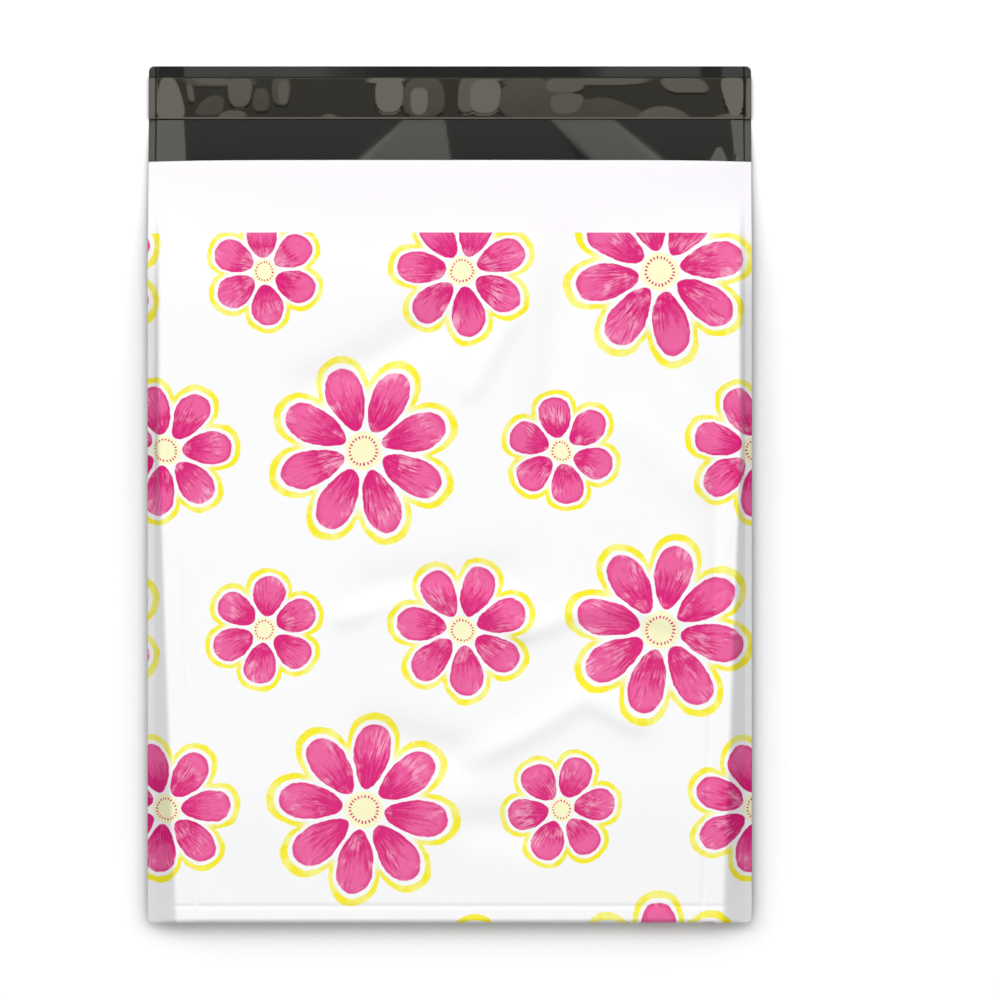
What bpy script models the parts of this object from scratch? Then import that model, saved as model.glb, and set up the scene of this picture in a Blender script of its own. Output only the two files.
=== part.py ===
"""A poly mailer bag, lying open on its back with the flap unfolded.

The bag is one strip of co-extruded film, white outside and dark grey inside. It is folded at the
bottom and its two plies are welded together along both sides, so it is open only at the mouth.
The back ply runs on past the mouth as the flap. A band of hot-melt glue lies across the flap, and
a release liner covers the glue until the bag is closed.

Metres, +Z up. The bag lies along Y with the flap at +Y, and its printed front faces up. The origin
is on the floor, under the middle of the bag's outline.
"""

import math

import bmesh
import bpy

# Outline of the bag, lying flat
BAG_WIDTH = 0.254
POUCH_LENGTH = 0.320
FLAP_LENGTH = 0.0405
FLAP_CORNER = 0.0022

# Film and welds
FILM = 0.00007
WELD_WIDTH = 0.003

# How far the relaxed bag stands open: outer faces over the floor, or over each other
POUCH_TOP_LOW = 0.0120
POUCH_TOP_HIGH = 0.0098
MOUTH_TOP = 0.0080
MOUTH_BLEND = 0.0320
MOUTH_ARCH_POWER = 6.0
FOLD_HEIGHT = 0.0090
FOLD_DEPTH = 0.0022
END_RISE = 0.0600

# The edges stay clear of the floor. The welds droop outwards, and the back curves up to them.
EDGE_LIFT = 0.0030
WELD_DROOP = 0.0015
BACK_CURVE_WIDTH = 0.0220
FLAP_SETTLE = 0.0150

# The straight slope from each weld up to the ridge of the front panel. It is widest at the
# bottom and narrows up to this share of the panel's length.
SLOPE_WIDTH_LOW = 0.0093
SLOPE_WIDTH_HIGH = 0.0023
NARROW_FROM = 0.62
RIDGE_ROUNDING = 0.0012

# Soft ridges (up) and valleys (down) pressed into the front panel: points along each one, from
# the middle of the bag's outline, its half width, and its height
CREASES = (
    (((-0.056, 0.045), (-0.030, 0.056), (-0.008, 0.069)), 0.0090, -0.0014),
    (((0.009, 0.043), (0.025, 0.072)), 0.0040, 0.0009),
    (((0.051, 0.108), (0.046, 0.068), (0.040, 0.012)), 0.0100, -0.0014),
    (((0.092, 0.060), (0.112, 0.030)), 0.0090, -0.0010),
    (((0.076, 0.030), (0.100, 0.004)), 0.0080, 0.0009),
    (((0.113, 0.014), (0.113, -0.040)), 0.0060, -0.0011),
    (((-0.030, -0.040), (0.024, -0.034)), 0.0090, -0.0010),
    (((-0.045, -0.052), (-0.010, -0.041), (0.010, -0.045), (0.029, -0.056)), 0.0042, 0.0009),
    (((0.029, -0.059), (0.052, -0.050), (0.070, -0.048), (0.094, -0.052)), 0.0046, 0.0011),
    (((-0.030, -0.101), (0.006, -0.111)), 0.0090, -0.0013),
    (((0.010, -0.111), (0.036, -0.098), (0.057, -0.085), (0.078, -0.096)), 0.0050, 0.0012),
    (((0.012, -0.140), (0.034, -0.143)), 0.0080, -0.0011),
    (((-0.096, 0.129), (-0.040, 0.126)), 0.0070, 0.0005),
)

# Glue and liner on the flap
GLUE_WIDTH = 0.0130
GLUE_THICKNESS = 0.00012
GLUE_END_MARGIN = 0.0030
LINER_WIDTH = 0.0178
LINER_THICKNESS = 0.00005
LINER_TO_FLAP_END = 0.0045
LAYER_GAP = 0.0003

# Print: blossoms in three sizes, each on its own half-drop lattice of one pitch
UNPRINTED_BAND = 0.0304
PRINT_PITCH_X = 0.124
PRINT_PITCH_Y = 0.150
PRINT_START_X = -0.036
PRINT_START_Y = 0.018
LARGE_BLOSSOM = 0.039
MIDDLE_BLOSSOM = 0.030
SMALL_BLOSSOM = 0.0245
PETALS = 8
# Shares of a blossom's radius
OUTLINE_SHARE = 0.06
PETAL_REACH = 0.86
PETAL_NOTCH = 0.16
PETAL_GAP = 0.035
BLOSSOM_EYE = 0.20

# How finely the surfaces are divided
SLOPE_STEPS = 3
CURVE_STEPS = 4
MIDDLE_STEPS = 32
FOLD_STEPS = 5
LENGTH_STEPS = 38
MOUTH_STEPS = 4
SETTLE_STEPS = 3
CORNER_STEPS = 3

# Places that follow from the sizes above
TOTAL_LENGTH = POUCH_LENGTH + FLAP_LENGTH
HALF_WIDTH = BAG_WIDTH / 2
INNER_HALF_WIDTH = HALF_WIDTH - WELD_WIDTH
BOTTOM_Y = -TOTAL_LENGTH / 2
MOUTH_Y = BOTTOM_Y + POUCH_LENGTH
FLAP_END_Y = MOUTH_Y + FLAP_LENGTH
LINER_Y = FLAP_END_Y - LINER_TO_FLAP_END - LINER_WIDTH / 2
GLUE_Z = FILM + LAYER_GAP
LINER_Z = GLUE_Z + GLUE_THICKNESS + LAYER_GAP

# Principled colours, linear
WHITE_FILM = (0.91, 0.91, 0.92, 1.0)
DARK_FILM = (0.028, 0.029, 0.028, 1.0)
GLUE_AMBER = (0.30, 0.24, 0.13, 1.0)
LINER_SMOKE = (0.045, 0.041, 0.032, 1.0)
PETAL_PINK = (0.74, 0.13, 0.31, 1.0)
PETAL_DEEP = (0.66, 0.02, 0.19, 1.0)
OUTLINE_YELLOW = (0.86, 0.76, 0.07, 1.0)
EYE_CREAM = (0.92, 0.90, 0.62, 1.0)


def clear_scene():
    for obj in list(bpy.data.objects):
        bpy.data.objects.remove(obj)


def blend(low, high, share):
    return low + (high - low) * share


def smooth_step(value):
    """0 below 0, 1 above 1, and level at both ends."""
    share = min(1.0, max(0.0, value))
    return share * share * (3 - 2 * share)


def distance_to_segment(x, y, start, end):
    along_x, along_y = end[0] - start[0], end[1] - start[1]
    length_squared = along_x**2 + along_y**2
    share = ((x - start[0]) * along_x + (y - start[1]) * along_y) / length_squared
    share = min(1.0, max(0.0, share))
    return math.hypot(x - start[0] - share * along_x, y - start[1] - share * along_y)


def crease_offset(x, y):
    """How much the soft creases lift or lower the front panel at this place."""
    total = 0.0
    for points, half_width, height in CREASES:
        parts = zip(points, points[1:])
        away = min(distance_to_segment(x, y, start, end) for start, end in parts) / half_width
        total += height * math.exp(-away * away)
    return total


def up_the_bag(y):
    """0 at the bottom fold, 1 at the mouth."""
    return (y - BOTTOM_Y) / POUCH_LENGTH


def slope_width(y):
    return blend(SLOPE_WIDTH_LOW, SLOPE_WIDTH_HIGH, min(1.0, up_the_bag(y) / NARROW_FROM))


def back_height(x, y):
    """Height of the back ply's underside over the floor. Past the mouth it settles to the floor."""
    inward = HALF_WIDTH - abs(x)
    at_weld = EDGE_LIFT + WELD_DROOP
    if inward < WELD_WIDTH:
        height = blend(EDGE_LIFT, at_weld, inward / WELD_WIDTH)
    else:
        height = at_weld * (1 - smooth_step((inward - WELD_WIDTH) / BACK_CURVE_WIDTH))
    return height * (1 - smooth_step((y - MOUTH_Y) / FLAP_SETTLE))


def rounded_minimum(first, second):
    """The lower of two heights, with the corner between them rounded."""
    share = max(0.0, 1 - abs(first - second) / RIDGE_ROUNDING)
    return min(first, second) - RIDGE_ROUNDING * share * share / 4


def front_height(x, y):
    """Height of the front ply's outer face over the floor. On the welds it meets the back ply."""
    welded = 2 * FILM
    inward = INNER_HALF_WIDTH - abs(x)
    if inward <= 0:
        return back_height(x, y) + welded
    at_weld = EDGE_LIFT + WELD_DROOP + welded
    past_the_fold = smooth_step((y - BOTTOM_Y - FOLD_DEPTH) / END_RISE)
    below_the_mouth = smooth_step((MOUTH_Y - y) / MOUTH_BLEND)
    top = blend(POUCH_TOP_LOW, POUCH_TOP_HIGH, up_the_bag(y))
    top = blend(FOLD_HEIGHT, top, past_the_fold)
    slope_share = inward / slope_width(y)
    slope = blend(at_weld, top, slope_share)
    panel = rounded_minimum(slope, top)
    panel += crease_offset(x, y) * past_the_fold * smooth_step(slope_share - 1)
    lip = blend(MOUTH_TOP, at_weld, (abs(x) / INNER_HALF_WIDTH) ** MOUTH_ARCH_POWER)
    return blend(lip, panel, below_the_mouth)


def spaced(start, end, steps):
    """Even stations from start to end, without the end itself."""
    return [blend(start, end, step / steps) for step in range(steps)]


def column_stations(y):
    """X of each column in this row: edges and welds, the slopes, the curve of the back, the rest."""
    ridge = INNER_HALF_WIDTH - slope_width(min(y, MOUTH_Y))
    curve_end = INNER_HALF_WIDTH - BACK_CURVE_WIDTH
    right = spaced(curve_end, ridge, CURVE_STEPS) + spaced(ridge, INNER_HALF_WIDTH, SLOPE_STEPS)
    right += [INNER_HALF_WIDTH, HALF_WIDTH]
    left = [-x for x in reversed(right)]
    return left + spaced(-curve_end, curve_end, MIDDLE_STEPS)[1:] + right


def pouch_stations():
    """(outer y, inner y, share of the height reached) of each row, from the fold to the mouth.

    The rows of the fold follow a half ellipse, on which the front and back faces part."""
    fold_end = BOTTOM_Y + FOLD_DEPTH
    rows = []
    for step in range(FOLD_STEPS):
        angle = math.pi / 2 * step / FOLD_STEPS
        y = fold_end - FOLD_DEPTH * math.cos(angle)
        rows.append((y, y + FILM * math.cos(angle), math.sin(angle)))
    mouth_zone = MOUTH_Y - MOUTH_BLEND
    straight = spaced(fold_end, mouth_zone, LENGTH_STEPS)
    straight += spaced(mouth_zone, MOUTH_Y, MOUTH_STEPS) + [MOUTH_Y]
    return rows + [(y, y, 1.0) for y in straight]


def flap_stations():
    """(y, half width) of each row of the flap past the mouth, narrowing round its corners."""
    corner = min(FLAP_CORNER, 0.9 * WELD_WIDTH)
    settled = MOUTH_Y + FLAP_SETTLE
    rows = [(y, HALF_WIDTH) for y in spaced(MOUTH_Y, settled, SETTLE_STEPS)[1:]]
    rows.append((settled, HALF_WIDTH))
    for step in range(CORNER_STEPS + 1):
        angle = math.pi / 2 * step / CORNER_STEPS
        y = FLAP_END_Y - corner + corner * math.sin(angle)
        rows.append((y, HALF_WIDTH - corner + corner * math.cos(angle)))
    return rows


def add_face(mesh, corners, slot):
    """A face through these corners, or none where they fall together on a line."""
    different = list(dict.fromkeys(corners))
    if len(different) > 2:
        mesh.faces.new(different).material_index = slot


def bridge(mesh, first, second, slot):
    """Faces between two lines of vertices that have one vertex for each column."""
    for left in range(len(first) - 1):
        right = left + 1
        add_face(mesh, (first[left], first[right], second[right], second[left]), slot)


def film_rows(mesh):
    """The vertices of the pouch: four lines for each row, outer and inner, back and front."""
    rows = []
    for y, inner_y, reached in pouch_stations():
        outer_back, outer_front, inner_back, inner_front = [], [], [], []
        for x in column_stations(y):
            low, high = back_height(x, y), front_height(x, y)
            middle, half = (low + high) / 2, (high - low) / 2 * reached
            back = mesh.verts.new((x, y, middle - half))
            outer_back.append(back)
            outer_front.append(mesh.verts.new((x, y, middle + half)) if reached else back)
            if abs(x) == HALF_WIDTH:
                continue
            half_inside = ((high - low) / 2 - FILM) * reached
            back = mesh.verts.new((x, inner_y, middle - half_inside))
            inner_back.append(back)
            parted = reached and abs(x) < INNER_HALF_WIDTH
            front = mesh.verts.new((x, inner_y, middle + half_inside)) if parted else back
            inner_front.append(front)
        rows.append((outer_back, outer_front, inner_back, inner_front))
    return rows


def build_flap(mesh, under, over, white_slot, dark_slot):
    """The back ply's run past the mouth, from its last underside and upper side lines."""
    columns = column_stations(MOUTH_Y)
    for y, half_width in flap_stations():
        xs = [max(-half_width, min(half_width, x)) for x in columns]
        next_under = [mesh.verts.new((x, y, back_height(x, y))) for x in xs]
        next_over = [mesh.verts.new((x, y, back_height(x, y) + FILM)) for x in xs]
        bridge(mesh, under, next_under, white_slot)
        bridge(mesh, over, next_over, dark_slot)
        for edge in (0, -1):
            sides = (under[edge], next_under[edge], next_over[edge], over[edge])
            add_face(mesh, sides, white_slot)
        under, over = next_under, next_over
    bridge(mesh, under, over, white_slot)


def build_film(materials):
    """The folded and welded strip of film: pouch, side welds and flap, as one body."""
    print_slot, white_slot, dark_slot = range(len(materials))
    mesh = bmesh.new()
    rows = film_rows(mesh)

    # On both edges of the bag, where the plies part at the mouth
    parting_z = back_height(HALF_WIDTH, MOUTH_Y) + FILM
    left_parting = mesh.verts.new((-HALF_WIDTH, MOUTH_Y, parting_z))
    right_parting = mesh.verts.new((HALF_WIDTH, MOUTH_Y, parting_z))
    for lower, upper in zip(rows, rows[1:]):
        bridge(mesh, lower[0], upper[0], white_slot)
        bridge(mesh, lower[1], upper[1], print_slot)
        bridge(mesh, lower[2], upper[2], dark_slot)
        bridge(mesh, lower[3], upper[3], dark_slot)
        for edge, parting in ((0, left_parting), (-1, right_parting)):
            between = [parting] if upper is rows[-1] else []
            sides = (lower[0][edge], upper[0][edge], *between, upper[1][edge], lower[1][edge])
            add_face(mesh, sides, white_slot)

    # The mouth: the front ply's cut edge, and the ends of the welds
    outer_back, outer_front, inner_back, inner_front = rows[-1]
    bridge(mesh, outer_front, [left_parting, *inner_front, right_parting], white_slot)
    over = [left_parting, *inner_back, right_parting]
    build_flap(mesh, outer_back, over, white_slot, dark_slot)

    bmesh.ops.recalc_face_normals(mesh, faces=mesh.faces)
    return add_object("bag_film", mesh, materials)


def build_strip(name, width, length, thickness, y, z, material):
    """A thin strip across the flap, centred on x = 0, with its underside at z."""
    mesh = bmesh.new()
    bmesh.ops.create_cube(mesh, size=1.0)
    bmesh.ops.scale(mesh, vec=(width, length, thickness), verts=mesh.verts)
    strip = add_object(name, mesh, [material])
    strip.location = (0, y, z + thickness / 2)
    return strip


def add_object(name, mesh, materials):
    data = bpy.data.meshes.new(name)
    mesh.to_mesh(data)
    mesh.free()
    for material in materials:
        data.materials.append(material)
    obj = bpy.data.objects.new(name, data)
    bpy.context.scene.collection.objects.link(obj)
    return obj


def plain_material(name, colour, roughness):
    material = bpy.data.materials.new(name)
    material.use_nodes = True
    shader = material.node_tree.nodes["Principled BSDF"]
    shader.inputs["Base Color"].default_value = colour
    shader.inputs["Roughness"].default_value = roughness
    shader.inputs["Metallic"].default_value = 0.0
    material.diffuse_color = colour
    return material


class Nodes:
    """Short words for the sums of a material's node tree."""

    def __init__(self, material):
        self.tree = material.node_tree

    def put(self, value, socket):
        if isinstance(value, (int, float, tuple)):
            socket.default_value = value
        else:
            self.tree.links.new(value, socket)

    def math(self, operation, *values):
        node = self.tree.nodes.new("ShaderNodeMath")
        node.operation = operation
        for value, socket in zip(values, node.inputs):
            self.put(value, socket)
        return node.outputs[0]

    def mix(self, share, first, second):
        node = self.tree.nodes.new("ShaderNodeMix")
        node.data_type = "RGBA"
        self.put(share, node.inputs["Factor"])
        self.put(first, node.inputs["A"])
        self.put(second, node.inputs["B"])
        return node.outputs["Result"]

    def place(self):
        """X and Y on the flat film, in metres."""
        place = self.tree.nodes.new("ShaderNodeTexCoord").outputs["Object"]
        split = self.tree.nodes.new("ShaderNodeSeparateXYZ")
        self.tree.links.new(place, split.inputs[0])
        return split.outputs["X"], split.outputs["Y"]


def half_drop_cell(nodes, x, y, start_x, start_y):
    """X and Y from the middle of the nearest blossom, where every other column drops by half."""
    columns = nodes.math("DIVIDE", nodes.math("SUBTRACT", x, start_x), PRINT_PITCH_X)
    column = nodes.math("ROUND", columns)
    across = nodes.math("MULTIPLY", nodes.math("SUBTRACT", columns, column), PRINT_PITCH_X)
    drop = nodes.math("PINGPONG", nodes.math("MULTIPLY", column, 0.5), 0.5)
    shifted = nodes.math("DIVIDE", nodes.math("SUBTRACT", y, start_y), PRINT_PITCH_Y)
    rows = nodes.math("ADD", shifted, drop)
    up = nodes.math("SUBTRACT", rows, nodes.math("ROUND", rows))
    return across, nodes.math("MULTIPLY", up, PRINT_PITCH_Y)


def draw_blossom(nodes, ground, across, up, radius):
    """Paints one blossom over the ground colour: outline, petals with white gaps, and an eye."""
    squares = nodes.math("ADD", nodes.math("POWER", across, 2.0), nodes.math("POWER", up, 2.0))
    away = nodes.math("DIVIDE", nodes.math("SQRT", squares), radius)
    turn = nodes.math("MULTIPLY", nodes.math("ARCTAN2", up, across), PETALS / 2)
    bulge = nodes.math("ABSOLUTE", nodes.math("COSINE", turn))
    rim = nodes.math("MULTIPLY_ADD", bulge, PETAL_NOTCH, PETAL_REACH - PETAL_NOTCH)
    outline_end = nodes.math("ADD", rim, 1 - PETAL_REACH)
    outline_start = nodes.math("SUBTRACT", outline_end, OUTLINE_SHARE)
    gap = nodes.math("MULTIPLY", away, nodes.math("ABSOLUTE", nodes.math("COSINE", turn)))

    on_outline = nodes.math(
        "MULTIPLY",
        nodes.math("LESS_THAN", away, outline_end),
        nodes.math("GREATER_THAN", away, outline_start),
    )
    on_petal = nodes.math(
        "MULTIPLY",
        nodes.math("LESS_THAN", away, rim),
        nodes.math("GREATER_THAN", gap, PETAL_GAP * PETALS / 2),
    )
    petal = nodes.mix(away, PETAL_DEEP, PETAL_PINK)
    colour = nodes.mix(on_outline, ground, OUTLINE_YELLOW)
    colour = nodes.mix(on_petal, colour, petal)
    return nodes.mix(nodes.math("LESS_THAN", away, BLOSSOM_EYE), colour, EYE_CREAM)


def print_material():
    """White film with the blossom print, which stops short of the mouth."""
    material = plain_material("film_print", WHITE_FILM, 0.3)
    nodes = Nodes(material)
    x, y = nodes.place()
    colour = WHITE_FILM
    for radius, columns_on, rows_on in (
        (LARGE_BLOSSOM, 0, 0),
        (MIDDLE_BLOSSOM, 1 / 3, 1 / 2),
        (SMALL_BLOSSOM, 2 / 3, 0),
    ):
        start_x = PRINT_START_X + columns_on * PRINT_PITCH_X
        start_y = PRINT_START_Y + rows_on * PRINT_PITCH_Y
        across, up = half_drop_cell(nodes, x, y, start_x, start_y)
        colour = draw_blossom(nodes, colour, across, up, radius)
    printed = nodes.math("LESS_THAN", y, MOUTH_Y - UNPRINTED_BAND)
    colour = nodes.mix(printed, WHITE_FILM, colour)
    nodes.put(colour, material.node_tree.nodes["Principled BSDF"].inputs["Base Color"])
    return material


def shade_smooth(obj, sharp_from):
    obj.data.shade_smooth()
    obj.data.set_sharp_from_angle(angle=sharp_from)


def main():
    clear_scene()
    film_white = plain_material("film_white", WHITE_FILM, 0.3)
    film_inside = plain_material("film_inside", DARK_FILM, 0.2)
    film = build_film([print_material(), film_white, film_inside])
    shade_smooth(film, math.radians(50))
    build_strip(
        "adhesive_strip",
        BAG_WIDTH - 2 * GLUE_END_MARGIN,
        GLUE_WIDTH,
        GLUE_THICKNESS,
        LINER_Y,
        GLUE_Z,
        plain_material("adhesive", GLUE_AMBER, 0.35),
    )
    build_strip(
        "release_liner",
        BAG_WIDTH,
        LINER_WIDTH,
        LINER_THICKNESS,
        LINER_Y,
        LINER_Z,
        plain_material("liner", LINER_SMOKE, 0.12),
    )


main()
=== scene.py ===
"""A poly mailer bag lying open on its back, with its glossy dark flap unfolded.

The film is one sheet: front panel, bottom fold, back panel and flap, with real thickness. The glue
and its release liner are pieces of their own on the flap. Metres, +Z up, flap at +Y.
"""

import math

import bmesh
import bpy
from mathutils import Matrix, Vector, noise


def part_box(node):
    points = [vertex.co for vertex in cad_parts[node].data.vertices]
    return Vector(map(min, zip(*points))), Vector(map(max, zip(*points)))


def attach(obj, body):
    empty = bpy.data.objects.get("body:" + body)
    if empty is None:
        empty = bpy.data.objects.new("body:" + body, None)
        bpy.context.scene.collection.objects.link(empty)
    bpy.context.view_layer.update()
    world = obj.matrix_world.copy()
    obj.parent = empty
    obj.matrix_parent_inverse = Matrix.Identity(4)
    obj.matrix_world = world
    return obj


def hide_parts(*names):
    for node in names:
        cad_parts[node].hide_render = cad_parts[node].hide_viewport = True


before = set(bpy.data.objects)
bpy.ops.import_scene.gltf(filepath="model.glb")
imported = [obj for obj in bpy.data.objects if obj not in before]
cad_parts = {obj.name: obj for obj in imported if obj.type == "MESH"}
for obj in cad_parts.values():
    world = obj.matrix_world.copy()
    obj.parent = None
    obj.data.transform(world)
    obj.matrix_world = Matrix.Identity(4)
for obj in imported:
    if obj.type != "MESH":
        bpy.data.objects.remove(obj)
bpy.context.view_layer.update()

MM = 0.001

# Sizes of the frame
film_low, film_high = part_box("bag_film")
liner_low, liner_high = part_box("release_liner")
glue_low, glue_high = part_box("adhesive_strip")
HALF_WIDTH = film_high[0]
BOTTOM_Y = film_low[1]
FLAP_END_Y = film_high[1]

# Form of the film, close to the solid's
FLAP_LENGTH = 40.5 * MM
FLAP_CORNER = 2.2 * MM
BOTTOM_CORNER = 1.4 * MM
FILM = 0.07 * MM
# The dressed film is a little thinner, so that its underside stays off the floor
DRESSED_FILM = 0.9 * FILM
WELD_WIDTH = 3.0 * MM
POUCH_TOP_LOW = 12.0 * MM
POUCH_TOP_HIGH = 9.8 * MM
MOUTH_TOP = 8.0 * MM
MOUTH_BLEND = 46.0 * MM
MOUTH_ARCH_POWER = 6.0
FOLD_HEIGHT = 9.0 * MM
FOLD_DEPTH = 2.2 * MM
END_RISE = 60.0 * MM
WELD_LIFT = 5.2 * MM
EDGE_LIFT_SHARE = 0.84
MOUTH_LIFT_SHARE = 0.35
MOUTH_LIFT_RUN = 50.0 * MM
BACK_CURVE_WIDTH = 22.0 * MM
MOUTH_CURVE_WIDTH = 6.0 * MM
MOUTH_FLAT = 14.0 * MM
LEAST_GAP = 0.3 * MM
LEAST_GAP_FADE = 3.0 * MM
SLOPE_WIDTH_LOW = 9.3 * MM
SLOPE_WIDTH_HIGH = 2.3 * MM
NARROW_FROM = 0.62
RIDGE_ROUNDING = 1.2 * MM
# Share of the way from the mouth to the liner in which the last of the edges' lift levels out
LIFT_ROUNDING = 0.1
# Creases and waves of the front start over this distance from the bottom fold
DETAIL_FADE = 4.0 * MM

MOUTH_Y = FLAP_END_Y - FLAP_LENGTH
POUCH_LENGTH = MOUTH_Y - BOTTOM_Y
INNER_HALF_WIDTH = HALF_WIDTH - WELD_WIDTH

# Grooves pressed along the ridges and the bottom fold
GROOVE_INWARD = 9.0 * MM
GROOVE_HALF_WIDTH = 0.9 * MM
GROOVE_DEPTH = 0.45 * MM
END_GROOVE_UP = 7.4 * MM
END_GROOVE_FADE = 4.0 * MM
# Where the side grooves end and how slowly they fade, as shares of the pouch's length
GROOVE_TOP = 0.55
GROOVE_FADE = 0.15

# Soft creases of the front panel, in millimetres from the middle of the bag's outline:
# points along the crease, its half width, and its height (up) or depth (down)
CREASES = (
    (((-56, 45), (-30, 56), (-8, 69)), 9.0, -2.7),
    (((9, 43), (25, 72)), 4.0, 1.6),
    (((51, 108), (46, 68), (40, 12)), 10.0, -2.7),
    (((92, 60), (112, 30)), 9.0, -1.9),
    (((76, 30), (100, 4)), 8.0, 1.6),
    (((113, 14), (113, -40)), 6.0, -2.1),
    (((-30, -40), (24, -34)), 9.0, -1.9),
    (((-45, -52), (-10, -41), (10, -45), (29, -56)), 4.2, 1.6),
    (((29, -59), (52, -50), (70, -48), (94, -52)), 4.6, 1.8),
    (((-30, -101), (6, -111)), 9.0, -2.4),
    (((10, -111), (36, -98), (57, -85), (78, -96)), 5.0, 1.8),
    (((12, -140), (34, -143)), 8.0, -2.1),
    (((-96, 129), (-40, 126)), 7.0, 0.8),
)
# A crease ends at this many half widths, and has this share of its height over the bottom fold
CREASE_REACH = 3
CREASE_SHARE_OVER_FOLD = 0.3

# Slight waves of the surfaces: height, size, and the seed of their noise
PANEL_WAVES = (0.22 * MM, 34.0 * MM, 3.0)
PANEL_RIPPLES = (0.05 * MM, 9.0 * MM, 8.0)
LIP_WAVES = (0.25 * MM, 40.0 * MM, 5.0)
LIP_WAVES_FADE = 20.0 * MM
FLAP_WAVES = (0.02 * MM, 24.0 * MM, 11.0)
GLUE_WAVES = (0.02 * MM, 5.0 * MM, 20.0)
LINER_WAVES = (0.01 * MM, 14.0 * MM, 30.0)

# Buckles of the flap, tilted towards its end, in millimetres from the middle of the outline:
# left and right foot on the mouth's line, the same at the top, reach over the mouth; degrees
BUCKLES = (
    (-124.0, -111.4, -123.4, -112.4, 19.0, 5.6),
    (-38.8, 0.6, -18.8, -2.2, 19.0, 3.2),
    (58.6, 89.9, 41.6, 68.4, 19.0, 3.2),
    (109.4, 117.2, 112.6, 114.6, 6.4, 6.2),
    (120.6, 124.2, 118.4, 123.6, 19.0, 5.4),
)
# Softness of a buckle's sides in its tilt and in its relief, the rounding of its top, the share
# of its tilt that is relief, and how far inside the mouth that relief levels out
BUCKLE_EDGE = 0.9
BUCKLE_FOOT = 7.0
BUCKLE_ROUNDING = 4.0
BUCKLE_RELIEF = 0.3
BUCKLE_DECAY = 34.0 * MM
# The flap's tilts start this far past the mouth
FLAP_LEAN_START = 0.1 * MM

# Tilt of the narrow band past the liner, in degrees towards the flap's end, by x in millimetres
END_TILTS = (
    (-123.6, 1.0),
    (-122.4, -3.8),
    (-113.0, -3.8),
    (-111.8, 1.0),
    (-54.0, 1.0),
    (-22.0, -3.8),
    (50.0, -3.8),
    (66.0, 1.0),
    (105.4, 1.0),
    (107.0, -3.8),
    (113.6, -3.8),
    (115.2, 1.0),
)
END_TILT_UNDER_LINER = 1.0 * MM

# Blisters of the liner, each a rounded patch that is tilted towards the flap's end. In
# millimetres from the middle of the liner: middle x and y, half width and half height; then
# the lean (its shift from bottom to top), the taper (how much wider it is at the bottom, as a
# share), and the tilt in degrees
BLISTERS = (
    (-125.6, 0.0, 2.2, 9.4, 0.6, 0.1, 4.8),
    (-118.2, -0.2, 5.2, 9.3, -1.6, 0.35, 5.6),
    (-109.4, 2.2, 1.4, 3.8, -1.4, 0.0, 2.7),
    (-100.6, -3.2, 5.4, 4.3, 4.0, 0.3, 1.6),
    (-97.0, 6.9, 15.0, 2.3, -3.0, 0.0, 1.6),
    (-100.0, 7.2, 8.0, 1.6, -6.0, 0.0, 2.7),
    (-88.6, 2.2, 5.0, 6.2, 0.4, -0.15, 2.7),
    (-91.5, -6.9, 5.6, 1.7, 1.0, 0.3, 2.7),
    (-79.6, -0.8, 3.5, 4.9, 0.0, 0.1, 1.6),
    (-71.2, 2.9, 3.9, 6.0, 0.3, -0.1, 1.6),
    (-70.2, 2.4, 2.3, 5.4, 0.2, 0.0, 2.7),
    (-51.0, -7.6, 3.2, 0.9, 0.0, 0.4, 2.7),
    (-27.0, 7.6, 7.6, 1.4, 2.0, 0.0, 4.8),
    (-25.6, 1.0, 5.8, 7.2, 0.2, -0.08, 4.8),
    (-11.0, 0.4, 8.8, 8.4, 0.4, 0.1, 1.6),
    (-13.0, -1.4, 3.6, 5.7, 0.2, -0.1, 4.8),
    (7.0, 1.2, 3.6, 7.4, 0.3, 0.1, 2.7),
    (14.8, 0.6, 6.4, 7.2, 0.6, -0.06, 4.8),
    (15.0, 8.0, 8.0, 1.2, 1.0, 0.0, 2.7),
    (31.0, 7.0, 8.2, 1.9, 3.0, 0.0, 1.6),
    (36.0, -0.8, 15.5, 8.2, 0.0, 0.05, 1.6),
    (48.4, 5.4, 8.2, 3.2, 1.8, 0.0, 2.7),
    (49.0, -2.4, 6.8, 4.3, 1.6, -0.15, 2.7),
    (66.0, 7.2, 17.0, 1.8, 4.0, 0.0, 2.7),
    (57.0, -4.6, 13.0, 4.2, -4.0, 0.2, 1.6),
    (68.0, -4.2, 10.4, 4.4, -9.0, 0.5, 1.6),
    (89.5, -6.2, 9.4, 2.7, 0.0, 0.5, 2.7),
    (99.0, 5.4, 9.4, 3.4, -4.4, 0.0, 2.7),
    (118.5, -7.6, 6.4, 1.0, 0.0, 0.3, 2.7),
    (119.6, 0.6, 4.2, 8.6, -1.6, -0.35, 5.6),
    (126.2, 0.0, 1.3, 9.4, 0.0, 0.1, 4.8),
)
# A patch's outline lies between an ellipse and its box, by this power. Its edge is this soft, and
# it is cut off at this share of its half height. The liner rises by this share of the tilt, and
# comes down at this slope where its tilt is less than this many degrees.
BLISTER_POWER = 3
BLISTER_EDGE = 0.8
BLISTER_CUT = 1.2
BLISTER_RELIEF = 0.15
BLISTER_DROP = 1.1
BLISTER_LEAST_TILT = 0.3

# Both long edges of the liner curl up a little: tilt, by millimetres from the edge, and relief
RIM_WIDTH = 0.8
RIM_TILT = 2.7
RIM_HEIGHT = 0.05 * MM
RIM_SPREAD = 0.3 * MM
LINER_FILM = 0.05 * MM
LINER_MIDDLE_Y = (liner_low[1] + liner_high[1]) / 2
LINER_HALF = (liner_high[1] - liner_low[1]) / 2 / MM
# The liner's tilts start this far past its lower edge
LINER_LEAN_START = 0.3 * MM

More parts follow.
